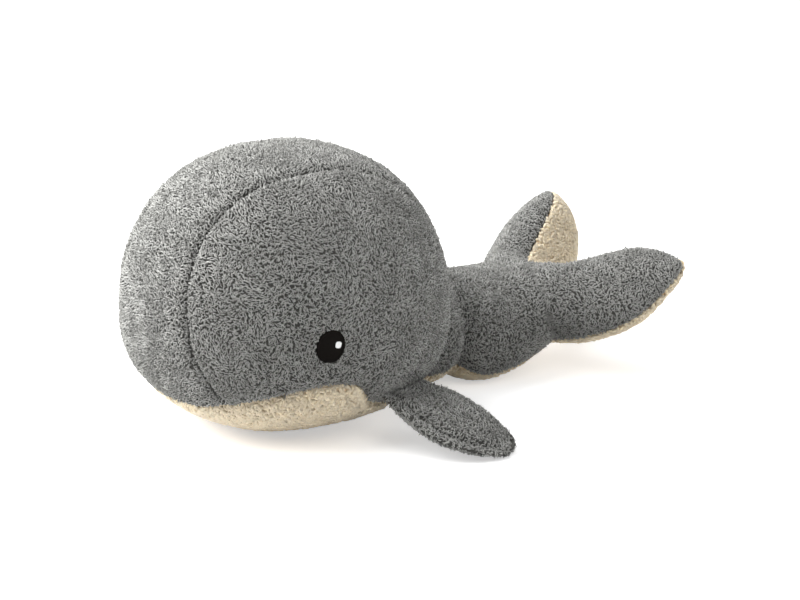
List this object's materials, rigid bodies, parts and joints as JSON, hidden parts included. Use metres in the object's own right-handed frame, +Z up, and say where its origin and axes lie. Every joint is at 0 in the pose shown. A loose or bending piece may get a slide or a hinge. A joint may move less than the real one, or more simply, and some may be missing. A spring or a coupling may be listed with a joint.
{
  "type": "plush whale",
  "caption": "Soft stuffed whale toy in grey terry with a cream curly belly, embroidered eyes, side flippers and a tail stalk that bends and ends in raised flukes.",
  "frame": {"origin": "middle of the whole toy in plan, on the surface that it lies on", "axes": "+Z up, +Y from nose to tail, +X to the whale's left"},
  "size_m": [0.396, 0.5248, 0.2455],
  "materials": {
    "grey_terry": "looped terry pile",
    "cream_sherpa": "curly sherpa pile",
    "polyester_fibre": "loose fibre filling",
    "black_thread": "satin embroidery thread",
    "white_thread": "satin embroidery thread"
  },
  "bodies": {
    "body": {"forehead_gusset": "grey_terry", "side_panel_left": "grey_terry", "side_panel_right": "grey_terry", "belly_panel": "cream_sherpa", "body_filling": "polyester_fibre", "eye_left": "black_thread", "eye_right": "black_thread", "eye_highlight_left": "white_thread", "eye_highlight_right": "white_thread"},
    "tail": {"tail_top_panel": "grey_terry", "tail_belly_strip": "cream_sherpa", "tail_filling": "polyester_fibre"},
    "fluke_left": {"fluke_top_left": "grey_terry", "fluke_underside_left": "cream_sherpa", "fluke_left_filling": "polyester_fibre"},
    "fluke_right": {"fluke_top_right": "grey_terry", "fluke_underside_right": "cream_sherpa", "fluke_right_filling": "polyester_fibre"},
    "flipper_left": {"flipper_upper_left": "grey_terry", "flipper_lower_left": "grey_terry", "flipper_left_filling": "polyester_fibre"},
    "flipper_right": {"flipper_upper_right": "grey_terry", "flipper_lower_right": "grey_terry", "flipper_right_filling": "polyester_fibre"}
  },
  "joints": [
    {"name": "tail_bend", "type": "hinge", "parent": "body", "child": "tail", "pos_m": [0, 0.0166, 0.058], "axis": [1, 0, 0], "range_deg": [-20, 20], "stiffness_Nm_per_rad": 2},
    {"name": "fluke_left_flap", "type": "hinge", "parent": "tail", "child": "fluke_left", "pos_m": [0.03439, 0.15533, 0.05995], "axis": [0.674, -0.5303, -0.5142], "range_deg": [-20, 20], "stiffness_Nm_per_rad": 0.3},
    {"name": "fluke_right_flap", "type": "hinge", "parent": "tail", "child": "fluke_right", "pos_m": [-0.03792, 0.15876, 0.06155], "axis": [0.5868, 0.1746, 0.7907], "range_deg": [-20, 20], "stiffness_Nm_per_rad": 0.3},
    {"name": "flipper_left_flap", "type": "hinge", "parent": "body", "child": "flipper_left", "pos_m": [0.11278, -0.0614, 0.044], "axis": [0.3552, -0.9348, 0], "range_deg": [-25, 40], "stiffness_Nm_per_rad": 0.05},
    {"name": "flipper_right_flap", "type": "hinge", "parent": "body", "child": "flipper_right", "pos_m": [-0.11278, -0.0614, 0.044], "axis": [0.3552, 0.9348, 0], "range_deg": [-25, 40], "stiffness_Nm_per_rad": 0.05}
  ]
}
